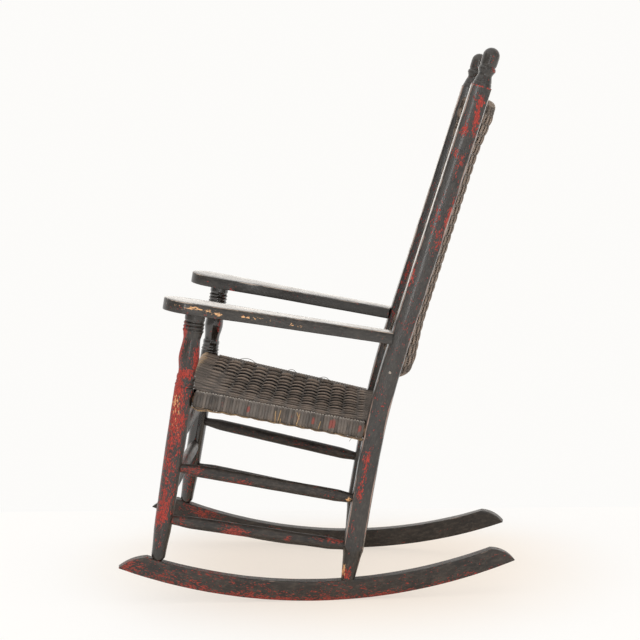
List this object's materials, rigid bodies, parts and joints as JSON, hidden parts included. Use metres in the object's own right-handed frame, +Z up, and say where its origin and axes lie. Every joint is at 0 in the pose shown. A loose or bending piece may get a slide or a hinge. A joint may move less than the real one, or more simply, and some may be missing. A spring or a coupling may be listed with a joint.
{
  "type": "rocking chair",
  "caption": "High-backed wooden rocking armchair with turned posts, curved rockers and a woven rush seat and back panel, in worn black paint over red.",
  "frame": {"origin": "on the floor, midway between the two sides and midway between the tips of the rockers", "axes": "+Z up, -Y towards the front that the sitter faces, +X to the sitter's left"},
  "size_m": [0.6074, 0.8332, 1.1508],
  "materials": {
    "painted_wood": "worn black paint over red, with bare chips",
    "rail_wood": "bare wood, hidden in the weave",
    "nail": "dull",
    "rush": "dark brown-black painted strands"
  },
  "bodies": {
    "root": {"rocker_left": "painted_wood", "rocker_right": "painted_wood", "front_post_left": "painted_wood", "front_post_right": "painted_wood", "back_post_left": "painted_wood", "back_post_right": "painted_wood", "arm_left": "painted_wood", "arm_right": "painted_wood", "upper_side_rung_left": "painted_wood", "upper_side_rung_right": "painted_wood", "lower_side_rung_left": "painted_wood", "lower_side_rung_right": "painted_wood", "upper_front_rung": "painted_wood", "lower_front_rung": "painted_wood", "back_rung": "painted_wood", "seat_rail_left": "rail_wood", "seat_rail_right": "rail_wood", "seat_rail_front": "rail_wood", "seat_rail_back": "rail_wood", "back_rail_top": "rail_wood", "back_rail_bottom": "rail_wood", "rail_nails": "nail", "seat_cross_strands": "rush", "seat_long_strands": "rush", "back_weave": "rush"}
  },
  "joints": []
}
